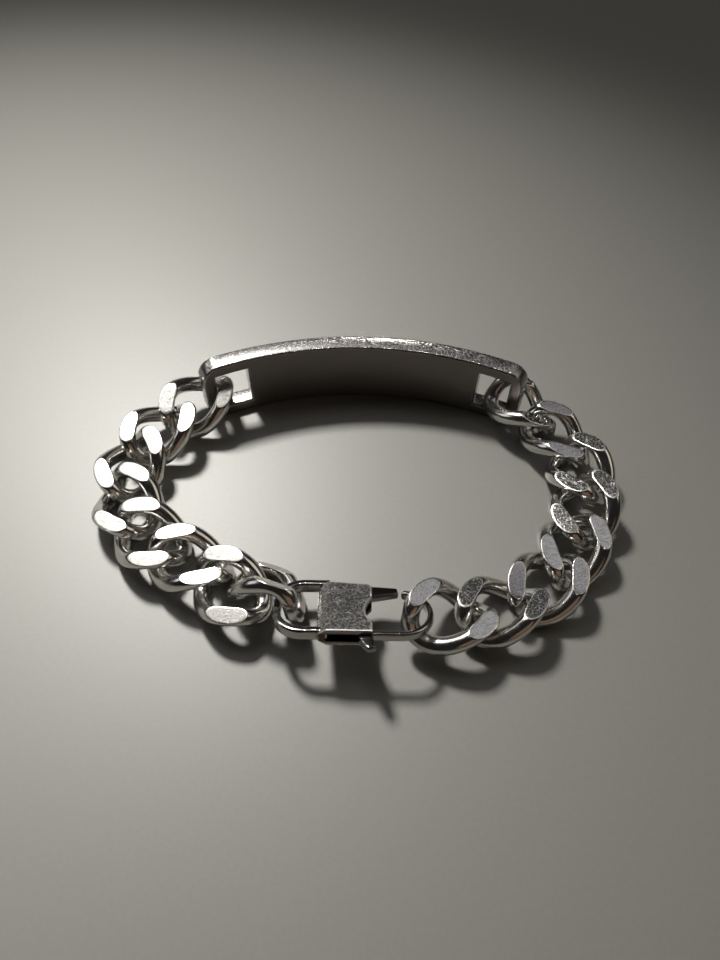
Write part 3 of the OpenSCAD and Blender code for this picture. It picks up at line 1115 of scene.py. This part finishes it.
def inset(ring, distance):
    """A ring moved inwards along the mean normal of its two edges; it runs clockwise."""
    edge = unit(np.roll(ring, -1, 0) - ring)
    normal = np.stack([edge[:, 1], -edge[:, 0]], -1)
    return ring + unit(normal + np.roll(normal, 1, 0)) * distance


lever_ring = rounded_outline(lever_corners, radius=0.5)
lever_hole = BORE_RADIUS * unit(lever_ring)
quarter = np.radians([0, 22, 45, 68, 90])
half = LEVER_THICK / 2
rows_up = []
for a in quarter:
    ring = inset(lever_ring, LEVER_EDGE * (1 - math.cos(a)))
    rows_up.append((ring, half - LEVER_EDGE * (1 - math.sin(a))))
lever_rows = [(lever_hole, -half)]
lever_rows += [(ring, -z) for ring, z in rows_up[::-1]]
lever_rows += rows_up
lever_rows += [(lever_hole, half)]
lever_points = np.stack([np.column_stack([ring, np.full(len(ring), z)]) for ring, z in lever_rows])
lever = tube(laid(lever_points + (0, PIVOT_Y, 0), CLASP_LIE, CLASP_AT), closed=True)
make_piece("sprung_lever", [lever], LEVER_STEEL, "clasp_lever", "lever")

# %% [markdown]
# ## Table top
#
# The bracelet lies on a plain satin table top, a grey laminate with a fine grain. Its
# sheen mirrors the lamp as a wide soft patch, so one side of the picture is brighter.
# One face would do for a plain top, and a few cells keep its shading even far out. It
# lies a hair below the bracelet, so that no two faces share a plane. The grain is two
# thirds of a millimetre, about as coarse as four pixels, so that it just shows.


# %% Floor
TABLE_HALF = 2000
TABLE_LINES = 9
TABLE_DROP = 0.02
TABLE_GRAIN = 2 / 3 * MM


def table_top():
    """Flat grid of cells, so wide that no view sees its edge."""
    line = np.linspace(-TABLE_HALF, TABLE_HALF, TABLE_LINES)
    x, y = np.meshgrid(line, line, indexing="ij")
    points = np.stack([x, y, np.full_like(x, -TABLE_DROP)], -1).reshape(-1, 3) * MM
    mesh = bpy.data.meshes.new("table_top")
    mesh.from_pydata(points.tolist(), [], grid_faces(TABLE_LINES, TABLE_LINES))
    material, tree, shader, place = new_material("satin_laminate")
    speck = add_node(
        tree, "ShaderNodeTexNoise", {"Vector": place, "Scale": 1 / TABLE_GRAIN, "Detail": 2.0}
    ).outputs["Fac"]
    tint = add_node(tree, "ShaderNodeMix", {"Factor": speck}, data_type="RGBA")
    tint.inputs["A"].default_value = linear("#74736e")
    tint.inputs["B"].default_value = linear("#7b7a75")
    tree.links.new(tint.outputs["Result"], shader.inputs["Base Color"])
    shader.inputs["Roughness"].default_value = 0.47
    mesh.materials.append(material)
    floor = bpy.data.objects.new("table_top", mesh)
    bpy.context.scene.collection.objects.link(floor)
    return floor


table_top()

# %% [markdown]
# ## Light
#
# One small soft box stands behind and to the left, under half a metre away, with a
# wider glow round it. Its light falls off across the table, and its shadows run to the
# front right. Polished steel shows what stands round it. A picture of a room could be
# its surroundings, but plain dim panels for the ceiling and the walls are easier to
# move until each flat is as light as it should be. The picture uses Blender's Standard
# view, where bright flats burn out to white as they do in a telephone.


# %% Lights
def soft_box(name, azimuth, elevation, distance, size, power, tint, aim=(0, 0, 0)):
    """A flat lamp that faces its aim. Azimuth 0 is behind the bracelet, and minus is left."""
    a, e = math.radians(azimuth), math.radians(elevation)
    lamp = bpy.data.lights.new(name, "AREA")
    lamp.shape = "RECTANGLE"
    lamp.size, lamp.size_y = size
    lamp.energy = power
    lamp.color = linear(tint)[:3]
    holder = bpy.data.objects.new(name, lamp)
    way = Vector((math.sin(a) * math.cos(e), math.cos(a) * math.cos(e), math.sin(e)))
    holder.location = way * distance
    facing = holder.location - Vector(aim)
    holder.rotation_euler = facing.to_track_quat("Z", "Y").to_euler()
    bpy.context.scene.collection.objects.link(holder)
    return holder


desk_lamp = soft_box(
    "desk_lamp", -28, 52, 0.43, (0.06, 0.06), 0.38, "#fffdf8", aim=(-0.068, -0.002, 0)
)
desk_lamp.data.spread = math.radians(61)
soft_box("lamp_glow", -45, 53, 0.5, (0.26, 0.26), 0.32, "#fffdf8")
soft_box("ceiling", -19, 72, 0.5, (0.12, 0.12), 0.07, "#fffdf8")
soft_box("far_wall", 44, 50, 1.2, (0.6, 0.6), 0.5, "#f8f8ff")
soft_box("left_wall", -80, 28, 0.8, (0.36, 0.28), 0.3, "#fbfcff")
soft_box("right_wall", 80, 38, 0.8, (0.44, 0.36), 0.42, "#fff2e0")
soft_box("front_wall", 160, 20, 0.8, (0.7, 0.4), 0.15, "#ffd0ae")
world = bpy.data.worlds.new("room")
world.use_nodes = True
world.node_tree.nodes["Background"].inputs["Color"].default_value = linear("#8a8884")
world.node_tree.nodes["Background"].inputs["Strength"].default_value = 0.05
bpy.context.scene.world = world
bpy.context.scene.view_settings.view_transform = "Standard"

# %% [markdown]
# ## Camera
#
# The picture is taken by hand from in front, looking down by 53 degrees, from 12 cm
# away, with the wide lens of a telephone.

# %% Camera
CAMERA_AT = (-0.288, -68.47, 98.82)
CAMERA_TO = (0.622, 6.021, 0)
LENS = 27.04
ROLL = 1.6
lens = bpy.data.cameras.new("camera")
lens.sensor_fit = "AUTO"
lens.sensor_width = 36
lens.lens = LENS
lens.clip_start = 0.005
camera = bpy.data.objects.new("camera", lens)
camera.location = Vector(CAMERA_AT) * MM
aim = (Vector(CAMERA_TO) - Vector(CAMERA_AT)).to_track_quat("-Z", "Y")
camera.rotation_euler = (aim @ Euler((0, 0, math.radians(ROLL))).to_quaternion()).to_euler()
bpy.context.scene.collection.objects.link(camera)
bpy.context.scene.camera = camera
